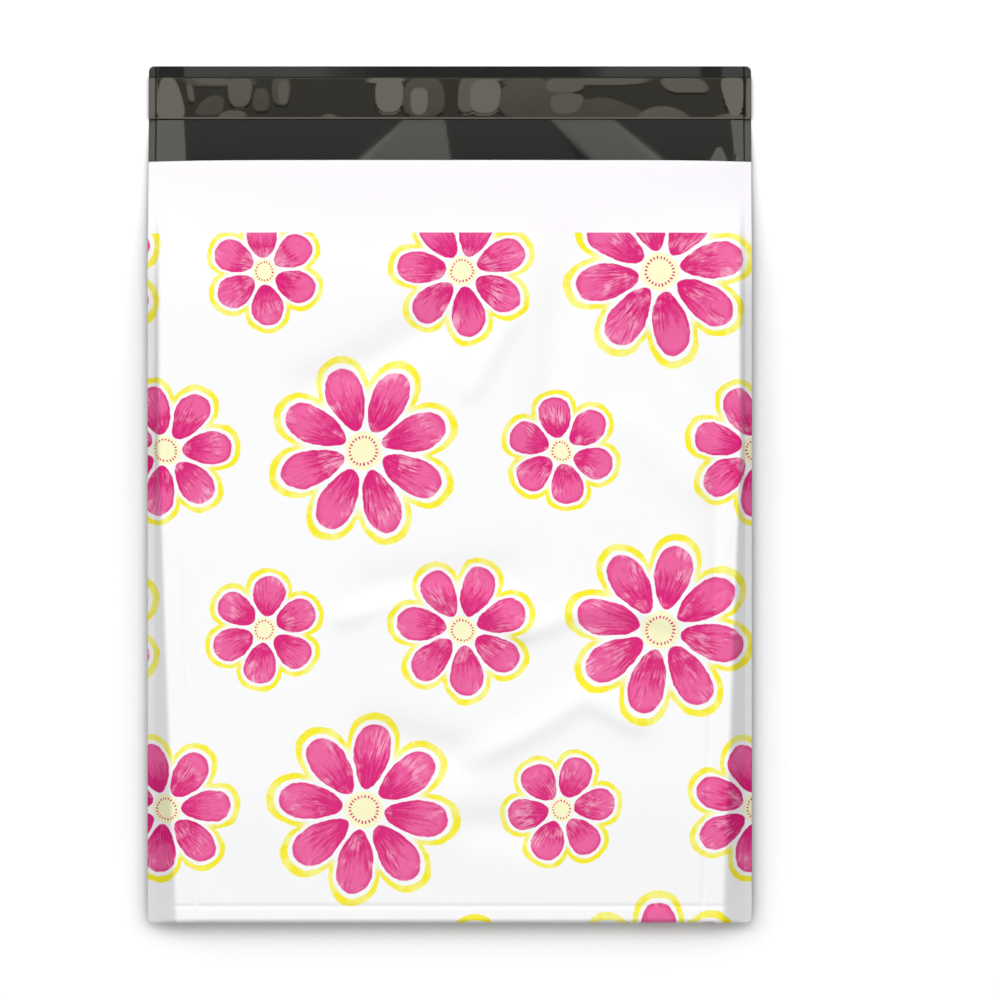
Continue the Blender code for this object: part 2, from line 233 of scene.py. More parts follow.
# Print: blossoms in three sizes on one half-drop lattice
UNPRINTED_BAND = 30.4 * MM
PRINT_PITCH_X = 124.0 * MM
PRINT_PITCH_Y = 150.0 * MM
PRINT_START_X = -36.0 * MM
PRINT_START_Y = 18.0 * MM
# Radius, petals, and the place on the lattice as shares of the pitches
BLOSSOMS = (
    (39.0 * MM, 8, 0.0, 0.0),
    (30.0 * MM, 7, 1 / 3, 1 / 2),
    (24.5 * MM, 6, 2 / 3, 0.0),
)

# How finely the film is divided
SLOPE_COLUMNS = 9
RIDGE_COLUMNS = 18
MIDDLE_COLUMNS = 38
RIDGE_ZONE = 12.0 * MM
MOUTH_ROWS = (20.0 * MM, 1.5 * MM)
FOLD_ROWS = (12.0 * MM, 0.6 * MM)
FRONT_SPACING = 2.4 * MM
BACK_SPACING = 8.0 * MM
FLAP_SPACING = 0.85 * MM
FLAP_FINENESS = 3
FOLD_STEPS = 10
CORNER_STEPS = 5
LINER_SPACING = 0.45 * MM
GLUE_SPACING = 1.2 * MM
# Columns on a weld, as shares of its width
WELD_COLUMNS = (0.0, 0.12, 0.5, 0.88)
# Rows inwards from both edges of a strip, in millimetres, and where its even rows start
EDGE_ROWS = (0.0, 0.12, 0.24, 0.4, 0.6, 0.85)
EDGE_ZONE = 1.2 * MM
# Edges sharper than this are shaded sharp, and a normal that points up this far is on top
SHARP_ANGLE = math.radians(60)
UPPER_SIDE = 0.3


def blend(low, high, share):
    return low + (high - low) * share


def smooth_step(value):
    """0 below 0, 1 above 1, and level at both ends."""
    share = min(1.0, max(0.0, value))
    return share * share * (3 - 2 * share)


def steps_between(start, end, spacing):
    """Even stations from start to end, both included, no farther apart than the spacing."""
    count = max(1, math.ceil(abs(end - start) / spacing))
    return [blend(start, end, step / count) for step in range(count + 1)]


def by_table(table, place):
    """Value at a place, from the table's stations, straight between them."""
    if place <= table[0][0]:
        return table[0][1]
    for (start, low), (end, high) in zip(table, table[1:]):
        if place <= end:
            return blend(low, high, (place - start) / (end - start))
    return table[-1][1]


def distance_to_path(x, y, points):
    """Distance from a place to a path of straight stretches."""
    nearest = math.inf
    for (x0, y0), (x1, y1) in zip(points, points[1:]):
        along_x, along_y = x1 - x0, y1 - y0
        share = ((x - x0) * along_x + (y - y0) * along_y) / (along_x**2 + along_y**2)
        share = min(1.0, max(0.0, share))
        nearest = min(nearest, math.hypot(x - x0 - share * along_x, y - y0 - share * along_y))
    return nearest


def waves(x, y, kind):
    """Smooth waves of one kind, above and below 0."""
    height, size, seed = kind
    return height * noise.noise(Vector((x / size, y / size, seed)))


def raised_waves(x, y, kind):
    """The same waves, raised by their height."""
    return kind[0] + waves(x, y, kind)


# Form of the film


def up_the_bag(y):
    """0 at the bottom fold, 1 at the mouth."""
    return (y - BOTTOM_Y) / POUCH_LENGTH


def slope_width(y):
    return blend(SLOPE_WIDTH_LOW, SLOPE_WIDTH_HIGH, min(1.0, up_the_bag(y) / NARROW_FROM))


def rounded_ramp(value, rounding):
    """0 below 0, then rising by one for each one, with a rounded start."""
    if value <= 0:
        return 0.0
    if value < rounding:
        return value * value / (2 * rounding)
    return value - rounding / 2


def buckle_share(buckle, x, y, edge):
    """How far a place is between a buckle's sides, 0 to 1, where the sides are this soft."""
    left, right, left_high, right_high, top = buckle[:5]
    over_mouth = (y - MOUTH_Y) / MM
    share = min(1.0, max(0.0, over_mouth / top))
    inside = smooth_step((x / MM - blend(left, left_high, share)) / edge + 0.5)
    return inside * smooth_step((blend(right, right_high, share) - x / MM) / edge + 0.5)


def buckle_tilt(x, y):
    """Tilt of the flap towards its end at this place, from its buckles, in degrees."""
    steepest = 0.0
    for buckle in BUCKLES:
        top, tilt = buckle[4:]
        below_top = smooth_step((top - (y - MOUTH_Y) / MM) / BUCKLE_EDGE + 0.5)
        steepest = max(steepest, tilt * below_top * buckle_share(buckle, x, y, BUCKLE_EDGE))
    return steepest


def buckle_height(x, y):
    """The film rises gently from the liner towards the mouth, and on inside, in its buckles."""
    if y < MOUTH_Y - BUCKLE_DECAY:
        return 0.0
    over_mouth = max(0.0, y - MOUTH_Y) / MM
    total = 0.0
    for buckle in BUCKLES:
        top, tilt = buckle[4:]
        rise = math.tan(math.radians(tilt)) * rounded_ramp(top - over_mouth, BUCKLE_ROUNDING)
        total += BUCKLE_RELIEF * rise * MM * buckle_share(buckle, x, y, BUCKLE_FOOT)
    return total * (1 - smooth_step((MOUTH_Y - y) / BUCKLE_DECAY))


def lift_share(y):
    """How much of their lift the welds have: less near the mouth, none at the liner's edge."""
    if y < MOUTH_Y:
        return blend(MOUTH_LIFT_SHARE, 1.0, smooth_step((MOUTH_Y - y) / MOUTH_LIFT_RUN))
    past_the_mouth = (y - MOUTH_Y) / (liner_low[1] - MOUTH_Y)
    return MOUTH_LIFT_SHARE * rounded_ramp(1 - past_the_mouth, LIFT_ROUNDING)


def back_height(x, y):
    """Height of the back ply's underside over the floor. Past the mouth it settles to the floor."""
    inward = HALF_WIDTH - abs(x)
    at_weld = WELD_LIFT * lift_share(y)
    if inward < WELD_WIDTH:
        height = at_weld * blend(EDGE_LIFT_SHARE, 1.0, inward / WELD_WIDTH)
    else:
        inside = smooth_step((MOUTH_Y - y) / MOUTH_LIFT_RUN)
        curve_width = blend(MOUTH_CURVE_WIDTH, BACK_CURVE_WIDTH, inside)
        height = at_weld * (1 - smooth_step((inward - WELD_WIDTH) / curve_width))
    return height + buckle_height(x, y)


def rounded_minimum(first, second):
    """The lower of two heights, rounded where they meet."""
    share = max(0.0, 1 - abs(first - second) / RIDGE_ROUNDING)
    return min(first, second) - RIDGE_ROUNDING * share * share / 4


def crease_height(x, y):
    total = 0.0
    for points, half_width, height in CREASES:
        away = distance_to_path(x / MM, y / MM, points) / half_width
        if away < CREASE_REACH:
            total += height * MM * math.exp(-away * away)
    return total


def groove_depth(x, y):
    """The grooves inside both ridges, and the one over the bottom fold."""
    ridge_inward = INNER_HALF_WIDTH - abs(x) - slope_width(y)
    away = (ridge_inward - GROOVE_INWARD) / GROOVE_HALF_WIDTH
    reach = smooth_step((GROOVE_TOP - up_the_bag(y)) / GROOVE_FADE)
    side = math.exp(-away * away) * reach
    away = (y - BOTTOM_Y - END_GROOVE_UP) / GROOVE_HALF_WIDTH
    end = math.exp(-away * away) * smooth_step(ridge_inward / END_GROOVE_FADE + 0.5)
    return GROOVE_DEPTH * max(side, end)


def front_height(x, y):
    """Height of the front ply's outer face over the floor. On the welds it meets the back ply."""
    welded = 2 * FILM
    inward = INNER_HALF_WIDTH - abs(x)
    back = back_height(x, y)
    if inward <= 0:
        return back + welded
    at_weld = back_height(math.copysign(INNER_HALF_WIDTH, x), y) + welded
    past_the_fold = smooth_step((y - BOTTOM_Y - FOLD_DEPTH) / END_RISE)
    below_the_mouth = smooth_step((MOUTH_Y - y - MOUTH_FLAT) / MOUTH_BLEND)
    top = blend(POUCH_TOP_LOW, POUCH_TOP_HIGH, up_the_bag(y))
    top = blend(FOLD_HEIGHT, top, past_the_fold)
    slope_share = inward / slope_width(y)
    panel = rounded_minimum(blend(at_weld, top, slope_share), top)
    on_panel = smooth_step(slope_share - 1)
    detail = crease_height(x, y) * blend(CREASE_SHARE_OVER_FOLD, 1.0, past_the_fold)
    detail += waves(x, y, PANEL_WAVES) + waves(x, y, PANEL_RIPPLES)
    detail *= on_panel
    detail -= groove_depth(x, y)
    panel += detail * smooth_step((y - BOTTOM_Y - FOLD_DEPTH) / DETAIL_FADE)
    lip = blend(MOUTH_TOP, at_weld, (abs(x) / INNER_HALF_WIDTH) ** MOUTH_ARCH_POWER)
    lip += waves(x, y, LIP_WAVES) * smooth_step(inward / LIP_WAVES_FADE)
    least = back + welded + LEAST_GAP * smooth_step(inward / LEAST_GAP_FADE)
    return max(blend(lip, panel, below_the_mouth), least)


def flap_height(x, y):
    """Height of the flap's underside over the floor."""
    return back_height(x, y) + raised_waves(x, y, FLAP_WAVES)


def flap_tilt(x, y):
    """Tilt of the flap towards its end, in degrees: its buckles, and its curled end."""
    if y < liner_high[1] - END_TILT_UNDER_LINER:
        return buckle_tilt(x, y)
    return by_table(END_TILTS, x / MM)


# Meshes


def side_stations(y):
    """Distances from a side edge of this row's columns, from the edge to the bag's middle."""
    ridge = WELD_WIDTH + slope_width(min(y, MOUTH_Y))
    groove_end = ridge + RIDGE_ZONE
    stations = [share * WELD_WIDTH for share in WELD_COLUMNS]
    for start, end, count in (
        (WELD_WIDTH, ridge, SLOPE_COLUMNS),
        (ridge, groove_end, RIDGE_COLUMNS),
        (groove_end, HALF_WIDTH, MIDDLE_COLUMNS),
    ):
        stations += [blend(start, end, step / count) for step in range(count)]
    return stations


def column_stations(y):
    inward = side_stations(y)
    left = [-HALF_WIDTH + distance for distance in inward]
    return left + [0.0] + [-x for x in reversed(left)]


def divided(stations, count):
    """The same stations, with each space between two of them divided in this many."""
    finer = []
    for left, right in zip(stations, stations[1:]):
        finer += [blend(left, right, step / count) for step in range(count)]
    return finer + [stations[-1]]


def corner_limit(y):
    """Half width of the film at this y: full, less what the rounded corners take."""
    for corner, distance in (
        (FLAP_CORNER, FLAP_END_Y - y),
        (BOTTOM_CORNER, y - BOTTOM_Y),
    ):
        if distance < corner:
            missing = corner - distance
            return HALF_WIDTH - corner + math.sqrt(max(0.0, corner**2 - missing**2))
    return HALF_WIDTH


def film_stations():
    """(part of the film, y, angle on the fold) of each row, along the strip from the mouth."""
    fold_end = BOTTOM_Y + FOLD_DEPTH
    below_mouth = MOUTH_Y - MOUTH_ROWS[0]
    over_fold = fold_end + FOLD_ROWS[0]
    front = steps_between(MOUTH_Y, below_mouth, MOUTH_ROWS[1])
    front += steps_between(below_mouth, over_fold, FRONT_SPACING)[1:]
    front += steps_between(over_fold, fold_end, FOLD_ROWS[1])[1:]
    rows = [("front", y, None) for y in front]
    for step in range(1, FOLD_STEPS):
        angle = math.pi * (0.5 - step / FOLD_STEPS)
        rows.append(("fold", fold_end - FOLD_DEPTH * math.cos(angle), angle))
    rows += [("back", y, None) for y in steps_between(fold_end, MOUTH_Y, BACK_SPACING)]
    flap = steps_between(MOUTH_Y, FLAP_END_Y - FLAP_CORNER, FLAP_SPACING)[1:]
    for step in range(1, CORNER_STEPS + 1):
        angle = math.pi / 2 * step / CORNER_STEPS
        flap.append(FLAP_END_Y - FLAP_CORNER + FLAP_CORNER * math.sin(angle))
    return rows + [("flap", y, None) for y in flap]


def film_point_z(part, x, y, angle):
    """Height of the middle of the film's thickness."""
    if part == "front":
        return front_height(x, y) - FILM / 2
    if part == "back":
        return back_height(x, y) + FILM / 2
    if part == "flap":
        return flap_height(x, y) + FILM / 2
    low = back_height(x, y) + FILM / 2
    high = front_height(x, y) - FILM / 2
    return (low + high) / 2 + (high - low) / 2 * math.sin(angle)


PRINT_SLOT, WHITE_SLOT, INNER_SLOTS = 0, 1, 2


def build_film(materials):
    """The whole folded sheet, as one surface with the film's thickness."""
    mesh = bmesh.new()
    rows = []
    stations = film_stations()
    for part, y, angle in stations:
        limit = corner_limit(y)
        xs = column_stations(y)
        if part == "flap":
            xs = divided(xs, FLAP_FINENESS)
        row = []
        for x in xs:
            z = film_point_z(part, x, y, angle)
            row.append(mesh.verts.new((max(-limit, min(limit, x)), y, z)))
        rows.append(row)
    for number, (first, second) in enumerate(zip(rows, rows[1:])):
        on_front = stations[number + 1][0] in ("front", "fold")
        finer = (len(second) - 1) // (len(first) - 1)
        for left in range(len(first) - 1):
            across = second[left * finer : (left + 1) * finer + 1]
            face = mesh.faces.new((first[left], *across, first[left + 1]))
            face.smooth = True
            face.material_index = PRINT_SLOT if on_front else WHITE_SLOT
    film = add_object("mailer_film", mesh, materials)
    thicken(film, DRESSED_FILM, INNER_SLOTS)
    lean_normals(film, MOUTH_Y + FLAP_LEAN_START, flap_tilt)
    return film


def add_object(name, mesh, materials):
    data = bpy.data.meshes.new(name)
    mesh.to_mesh(data)
    mesh.free()
    for material in materials:
        data.materials.append(material)
    obj = bpy.data.objects.new(name, data)
    bpy.context.scene.collection.objects.link(obj)
    return obj


def thicken(obj, thickness, slot_offset=0):
    """Gives a surface its thickness, half to each side, and applies it."""
    solidify = obj.modifiers.new("thickness", "SOLIDIFY")
    solidify.thickness = thickness
    solidify.offset = 0
    solidify.material_offset = slot_offset
    solidify.material_offset_rim = 0
    depsgraph = bpy.context.evaluated_depsgraph_get()
    thick = bpy.data.meshes.new_from_object(obj.evaluated_get(depsgraph))
    obj.modifiers.clear()
    obj.data = thick
    thick.set_sharp_from_angle(angle=SHARP_ANGLE)


def lean_normals(obj, from_y, tilt_at):
    """Leans the upper side's normals towards the flap's end past this y, by the slight tilts that
    are left out of the thin film's mesh. A normal of 0 leaves the vertex its own."""
    mesh = obj.data
    normals = [(0.0, 0.0, 0.0)] * len(mesh.vertices)
    for vertex in mesh.vertices:
        x, y, _ = vertex.co
        if y > from_y and vertex.normal.z > UPPER_SIDE:
            lean = math.tan(math.radians(tilt_at(x, y)))
            normals[vertex.index] = (vertex.normal + Vector((0.0, lean, 0.0))).normalized()
    mesh.normals_split_custom_set_from_vertices(normals)


def blister_tilt(x, y):
    """Tilt of the liner in degrees, its steepest patch's, at millimetres from its middle."""
    from_edge = LINER_HALF - abs(y)
    # The rim's tilt is halved at the rim's width from the edge
    steepest = RIM_TILT * smooth_step(1.5 - from_edge / RIM_WIDTH)
    for middle_x, middle_y, half_width, half_height, lean, taper, tilt in BLISTERS:
        up = (y - middle_y) / half_height
        if abs(up) > BLISTER_CUT:
            continue
        across = (x - middle_x - lean * up / 2) / (half_width * (1 - taper * up))
        edge = (abs(across) ** BLISTER_POWER + abs(up) ** BLISTER_POWER) ** (1 / BLISTER_POWER)
        soft = BLISTER_EDGE / min(half_width, half_height)
        steepest = max(steepest, tilt * (1 - smooth_step((edge - 1) / soft + 0.5)))
    return steepest


def blister_heights(xs, ys):
    """Heights of the liner's columns, from the upper edge down: each rises over its tilted patches
    and drops after them."""
    columns = []
    for x in xs:
        height = 0.0
        column = [height]
        for upper, lower in zip(ys[::-1], ys[-2::-1]):
            tilt = blister_tilt(x / MM, ((upper + lower) / 2 - LINER_MIDDLE_Y) / MM)
            step = upper - lower
            if tilt > BLISTER_LEAST_TILT:
                height += BLISTER_RELIEF * math.tan(math.radians(tilt)) * step
            else:
                height = max(0.0, height - BLISTER_DROP * step)
            column.append(height)
        columns.append(column[::-1])
    return columns


def edge_stations(low, high, spacing):
    """Stations across a strip, close together at both of its edges."""
    near = [inward * MM for inward in EDGE_ROWS]
    middle = steps_between(low + EDGE_ZONE, high - EDGE_ZONE, spacing)
    return [low + inward for inward in near] + middle + [high - inward for inward in reversed(near)]


def strip_grid(name, xs, ys, heights, thickness, material):
    """A thin strip over the flap, as a fine grid with a height for each column and row."""
    mesh = bmesh.new()
    columns = []
    for x, column in zip(xs, heights):
        columns.append([mesh.verts.new((x, y, z)) for y, z in zip(ys, column)])
    for first, second in zip(columns, columns[1:]):
        for low in range(len(ys) - 1):
            corners = (first[low], second[low], second[low + 1], first[low + 1])
            mesh.faces.new(corners).smooth = True
    strip = add_object(name, mesh, [material])
    thicken(strip, thickness)
    return strip


def build_glue(material):
    """Hot-melt band, pressed flat with a slightly uneven face."""
    thickness = glue_high[2] - glue_low[2]
    xs = steps_between(glue_low[0], glue_high[0], GLUE_SPACING)
    ys = edge_stations(glue_low[1], glue_high[1], GLUE_SPACING)
    middle_z = glue_low[2] + thickness / 2
    heights = [[middle_z + waves(x, y, GLUE_WAVES) for y in ys] for x in xs]
    return strip_grid("glue_band", xs, ys, heights, thickness, material)


def build_liner(material):
    """Release liner: flat where it holds, blistered where it has let go, with raised edges."""
    xs = steps_between(liner_low[0], liner_high[0], LINER_SPACING)
    ys = edge_stations(liner_low[1], liner_high[1], LINER_SPACING)
    heights = blister_heights(xs, ys)
    for column, x in zip(heights, xs):
        for row, y in enumerate(ys):
            from_edge = min(y - liner_low[1], liner_high[1] - y)
            rim = RIM_HEIGHT * math.exp(-((from_edge / RIM_SPREAD) ** 2))
            column[row] += liner_low[2] + rim + raised_waves(x, y, LINER_WAVES)
    liner = strip_grid("clear_liner", xs, ys, heights, LINER_FILM, material)
    still_to_lean = 1 - BLISTER_RELIEF

    def tilt_at(x, y):
        return still_to_lean * blister_tilt(x / MM, (y - LINER_MIDDLE_Y) / MM)

    lean_normals(liner, liner_low[1] + LINER_LEAN_START, tilt_at)
    return liner


# Materials


def new_material(name, colour, roughness):
    """A plain material, with short words for its nodes, and its shader."""
    material = bpy.data.materials.new(name)
    material.use_nodes = True
    nodes = Nodes(material.node_tree)
    shader = material.node_tree.nodes["Principled BSDF"]
    shader.inputs["Base Color"].default_value = colour
    shader.inputs["Roughness"].default_value = roughness
    shader.inputs["Metallic"].default_value = 0.0
    return material, nodes, shader


class Nodes:
    """Short words for the sums of a node tree."""

    def __init__(self, tree):
        self.tree = tree

    def add(self, kind, **settings):
        node = self.tree.nodes.new(kind)
        for name, value in settings.items():
            setattr(node, name, value)
        return node

    def put(self, value, socket):
        if isinstance(value, (int, float, tuple)):
            socket.default_value = value
        else:
            self.tree.links.new(value, socket)

    def math(self, operation, *values):
        node = self.add("ShaderNodeMath", operation=operation)
        for value, socket in zip(values, node.inputs):
            self.put(value, socket)
        return node.outputs[0]

    def mix(self, share, first, second):
        node = self.add("ShaderNodeMix", data_type="RGBA")
        self.put(share, node.inputs["Factor"])
        self.put(first, node.inputs["A"])
        self.put(second, node.inputs["B"])
        return node.outputs["Result"]

    def multiply(self, first, second):
        node = self.add("ShaderNodeMix", data_type="RGBA", blend_type="MULTIPLY")
        node.inputs["Factor"].default_value = 1.0
        self.put(first, node.inputs["A"])
        self.put(second, node.inputs["B"])
        return node.outputs["Result"]

    def fade(self, value, start, end):
        """0 at start, 1 at end, smooth between; start may be the higher."""
        node = self.add("ShaderNodeMapRange", interpolation_type="SMOOTHSTEP")
        for item, socket in zip((value, start, end, 0.0, 1.0), node.inputs):
            self.put(item, socket)
        return node.outputs[0]

    def ramp(self, value, start, end, low, high):
        """Low up to start, high from end on, and straight between."""
        node = self.add("ShaderNodeMapRange")
        for item, socket in zip((value, start, end, low, high), node.inputs):
            self.put(item, socket)
        return node.outputs[0]

    def vector(self, x, y, z=0.0):
        node = self.add("ShaderNodeCombineXYZ")
        for value, socket in zip((x, y, z), node.inputs):
            self.put(value, socket)
        return node.outputs[0]

    def noise(self, place, scale, detail=2.0, roughness=0.5):
        node = self.add("ShaderNodeTexNoise")
        self.put(place, node.inputs["Vector"])
        node.inputs["Scale"].default_value = scale
        node.inputs["Detail"].default_value = detail
        node.inputs["Roughness"].default_value = roughness
        return node.outputs["Fac"]

    def place(self):
        """Place on the object, in metres, whole and as X, Y and Z."""
        whole = self.add("ShaderNodeTexCoord").outputs["Object"]
        split = self.add("ShaderNodeSeparateXYZ")
        self.put(whole, split.inputs[0])
        return whole, split.outputs["X"], split.outputs["Y"], split.outputs["Z"]

    def bump(self, shader, height, distance, strength):
        node = self.add("ShaderNodeBump")
        node.inputs["Strength"].default_value = strength
        node.inputs["Distance"].default_value = distance
        self.put(height, node.inputs["Height"])
        self.put(node.outputs[0], shader.inputs["Normal"])


# Colours of the film, the liner, the glue and the print
WHITE_FILM = (0.90, 0.90, 0.908, 1.0)
UNPRINTED_FILM = (0.908, 0.882, 0.918, 1.0)
# Painted shade that darkens the folded sides, added to the real shade of their slopes
PAINTED_SIDE_SHADE = (0.76, 0.76, 0.765, 1.0)
DARK_FILM = (0.0114, 0.0119, 0.0105, 1.0)
SEAM_DARK = (0.003, 0.003, 0.003, 1.0)
LINER_SMOKE = (0.0058, 0.0060, 0.0030, 1.0)
GLUE_AMBER = (0.10, 0.075, 0.035, 1.0)
PETAL_DEEP = (0.66, 0.004, 0.17, 1.0)
PETAL_PINK = (0.80, 0.115, 0.33, 1.0)
PETAL_PALE = (0.88, 0.38, 0.56, 1.0)
OUTLINE_YELLOW = (0.90, 0.80, 0.02, 1.0)
OUTLINE_PALE = (0.91, 0.87, 0.22, 1.0)
EYE_CREAM = (0.91, 0.89, 0.56, 1.0)

# The floor as it is seen and as it lights the bag, its own faint glow, and how far the contact
# shadow reaches
FLOOR_WHITE = (0.98, 0.98, 0.98, 1.0)
FLOOR_BOUNCE = (0.5, 0.5, 0.5, 1.0)
FLOOR_GLOW = 0.03
CONTACT_REACH = 30.0 * MM

# Gloss of the white film and its mottle, and the reflection of the dark film and the liner
FILM_ROUGHNESS = 0.33
FILM_SPECULAR = 0.22
MOTTLE_SHADE = 0.975
DARK_SPECULAR = 0.5
DARK_TINT = (1.0, 1.0, 0.93, 1.0)
LINER_SPECULAR = 0.7
LINER_TINT = (1.0, 0.93, 0.80, 1.0)

# Form of a blossom, as shares of its radius: a petal's middle and half length, and its eye
PETAL_MIDDLE = 0.57
PETAL_HALF_LENGTH = 0.40
EYE_RADIUS = 0.205
EYE_SOFTNESS = 0.01
# A petal's half width at its middle, as a share of its room, and how much wider it is at its tip
PETAL_HALF_WIDTH = 0.53
PETAL_TAPER = 0.30
# How far in all the brush wanders, in broad and in fine turns
WANDER_BROAD = 2.4 * MM
WANDER_FINE = 0.7 * MM

# The line where the welds end is darkest up to one distance from its middle and gone from the
# other, and takes this share of the gloss away
SEAM_DARKEST = 0.2 * MM
SEAM_FADED = 0.55 * MM
SEAM_DULLNESS = 0.75

# The painted shade of the folded sides fades in across the ridge, from inside it to outside it, and
# below the mouth, from the start down to where it is full
PAINTED_SHADE_INSIDE = 1.5 * MM
PAINTED_SHADE_OUTSIDE = 1.2 * MM
PAINTED_SHADE_START = 22.0 * MM
PAINTED_SHADE_FULL = 70.0 * MM


def blossom_group():
    """Node group that paints one lattice of blossoms over a ground colour.

    A blossom is a ring of egg-shaped petals: a watercolour fill, a bare margin and a yellow
    outline round each, with a cream eye and a ring of stamens."""
    group = bpy.data.node_groups.new("blossoms", "ShaderNodeTree")
    face = group.interface
    face.new_socket("Ground", in_out="INPUT", socket_type="NodeSocketColor")
    for name in ("X", "Y", "Start X", "Start Y", "Radius", "Petals"):
        face.new_socket(name, in_out="INPUT", socket_type="NodeSocketFloat")
    face.new_socket("Colour", in_out="OUTPUT", socket_type="NodeSocketColor")
    nodes = Nodes(group)
    given = nodes.add("NodeGroupInput").outputs
    radius, petals = given["Radius"], given["Petals"]

    # The cell of the half-drop lattice, and the place in it
    columns = nodes.math("SUBTRACT", given["X"], given["Start X"])
    columns = nodes.math("DIVIDE", columns, PRINT_PITCH_X)
    column = nodes.math("ROUND", columns)
    across = nodes.math("MULTIPLY", nodes.math("SUBTRACT", columns, column), PRINT_PITCH_X)
    drop = nodes.math("PINGPONG", nodes.math("MULTIPLY", column, 0.5), 0.5)
    rows = nodes.math("SUBTRACT", given["Y"], given["Start Y"])
    rows = nodes.math("ADD", nodes.math("DIVIDE", rows, PRINT_PITCH_Y), drop)
    row = nodes.math("ROUND", rows)
    up = nodes.math("MULTIPLY", nodes.math("SUBTRACT", rows, row), PRINT_PITCH_Y)
    cell = nodes.add("ShaderNodeTexWhiteNoise", noise_dimensions="3D")
    nodes.put(nodes.vector(column, row, radius), cell.inputs["Vector"])
    chance = cell.outputs["Value"]

    # Around the blossom: distance as a share of its radius, and the place along one petal
    squares = nodes.math("ADD", nodes.math("POWER", across, 2.0), nodes.math("POWER", up, 2.0))
    away = nodes.math("DIVIDE", nodes.math("SQRT", squares), radius)
    turns = nodes.math("DIVIDE", nodes.math("ARCTAN2", up, across), math.tau)
    turns = nodes.math("ADD", nodes.math("MULTIPLY", turns, petals), chance)
    petal_number = nodes.math("ROUND", turns)
    angle = nodes.math("SUBTRACT", turns, petal_number)
    angle = nodes.math("DIVIDE", nodes.math("MULTIPLY", angle, math.tau), petals)
    along = nodes.math("MULTIPLY", away, nodes.math("COSINE", angle))
    aside = nodes.math("MULTIPLY", away, nodes.math("SINE", angle))

    # Egg-shaped petal, wider towards its tip: 1 on its edge
    room = nodes.math("TANGENT", nodes.math("DIVIDE", math.pi, petals))
    half_width = nodes.math("MULTIPLY", room, PETAL_HALF_WIDTH)
    from_middle = nodes.math("SUBTRACT", along, PETAL_MIDDLE)
    from_middle = nodes.math("DIVIDE", from_middle, PETAL_HALF_LENGTH)
    egg = nodes.math("MULTIPLY_ADD", from_middle, PETAL_TAPER, 1.0)
    sideways = nodes.math("DIVIDE", aside, nodes.math("MULTIPLY", half_width, egg))
    edge = nodes.math(
        "SQRT",
        nodes.math("ADD", nodes.math("POWER", from_middle, 2.0), nodes.math("POWER", sideways, 2.0)),
    )

    # Watercolour: streaks along the petal, blotches, and pigment pooled at the edge
    spot = nodes.vector(across, up, chance)
    streak_place = nodes.vector(
        nodes.math("MULTIPLY", angle, 5.5),
        nodes.math("MULTIPLY", away, 0.9),
        nodes.math("ADD", petal_number, nodes.math("MULTIPLY", chance, 9.0)),
    )
    streaks = nodes.noise(streak_place, scale=5.0, detail=3.0, roughness=0.6)
    blotches = nodes.noise(spot, scale=120.0, detail=4.0, roughness=0.55)
    depth = nodes.math("ADD", nodes.fade(along, 0.95, 0.15), nodes.math("MULTIPLY", streaks, 1.6))
    depth = nodes.math("ADD", depth, nodes.math("MULTIPLY", blotches, 1.2))
    petal = nodes.mix(nodes.fade(depth, 1.5, 2.25), PETAL_PINK, PETAL_DEEP)
    pale = nodes.math("MULTIPLY", nodes.fade(blotches, 0.50, 0.68), nodes.fade(streaks, 0.62, 0.40))
    petal = nodes.mix(nodes.math("MULTIPLY", pale, 0.85), petal, PETAL_PALE)
    pooled = nodes.math("MULTIPLY", nodes.fade(edge, 0.66, 0.86), nodes.fade(blotches, 0.66, 0.42))
    petal = nodes.mix(nodes.math("MULTIPLY", pooled, 0.6), petal, PETAL_DEEP)

    # From the outside in: outline, bare margin, petal, eye, stamens
    outline = nodes.math("MULTIPLY", nodes.fade(edge, 0.98, 1.02), nodes.fade(edge, 1.22, 1.18))
    outline = nodes.math("MULTIPLY", outline, nodes.fade(away, 0.55, 0.75))
    yellow = nodes.mix(nodes.fade(blotches, 0.42, 0.62), OUTLINE_YELLOW, OUTLINE_PALE)
    colour = nodes.mix(outline, given["Ground"], yellow)
    colour = nodes.mix(nodes.fade(edge, 0.885, 0.85), colour, petal)
    eye = nodes.fade(away, EYE_RADIUS + EYE_SOFTNESS, EYE_RADIUS - EYE_SOFTNESS)
    colour = nodes.mix(eye, colour, EYE_CREAM)
    ring = nodes.math("MULTIPLY", nodes.fade(away, 0.13, 0.135), nodes.fade(away, 0.165, 0.16))
    dots = nodes.math("MULTIPLY", turns, 3.0)
    dots = nodes.math("ABSOLUTE", nodes.math("SUBTRACT", dots, nodes.math("ROUND", dots)))
    ring = nodes.math("MULTIPLY", ring, nodes.fade(dots, 0.26, 0.18))
    colour = nodes.mix(ring, colour, PETAL_DEEP)
    nodes.put(colour, nodes.add("NodeGroupOutput").inputs["Colour"])
    return group


def film_finish(nodes, whole, shader):
    """Fine unevenness of blown film."""
    nodes.bump(shader, nodes.noise(whole, scale=160.0), distance=0.02 * MM, strength=0.5)


def white_material():
    material, nodes, shader = new_material("film_white", WHITE_FILM, FILM_ROUGHNESS)
    shader.inputs["Specular IOR Level"].default_value = FILM_SPECULAR
    whole, *_ = nodes.place()
    mottle = nodes.noise(whole, scale=45.0, detail=3.0)
    shade = tuple(value * MOTTLE_SHADE for value in WHITE_FILM[:3]) + (1.0,)
    nodes.put(nodes.mix(nodes.fade(mottle, 0.45, 0.75), WHITE_FILM, shade), shader.inputs["Base Color"])
    film_finish(nodes, whole, shader)
    return material


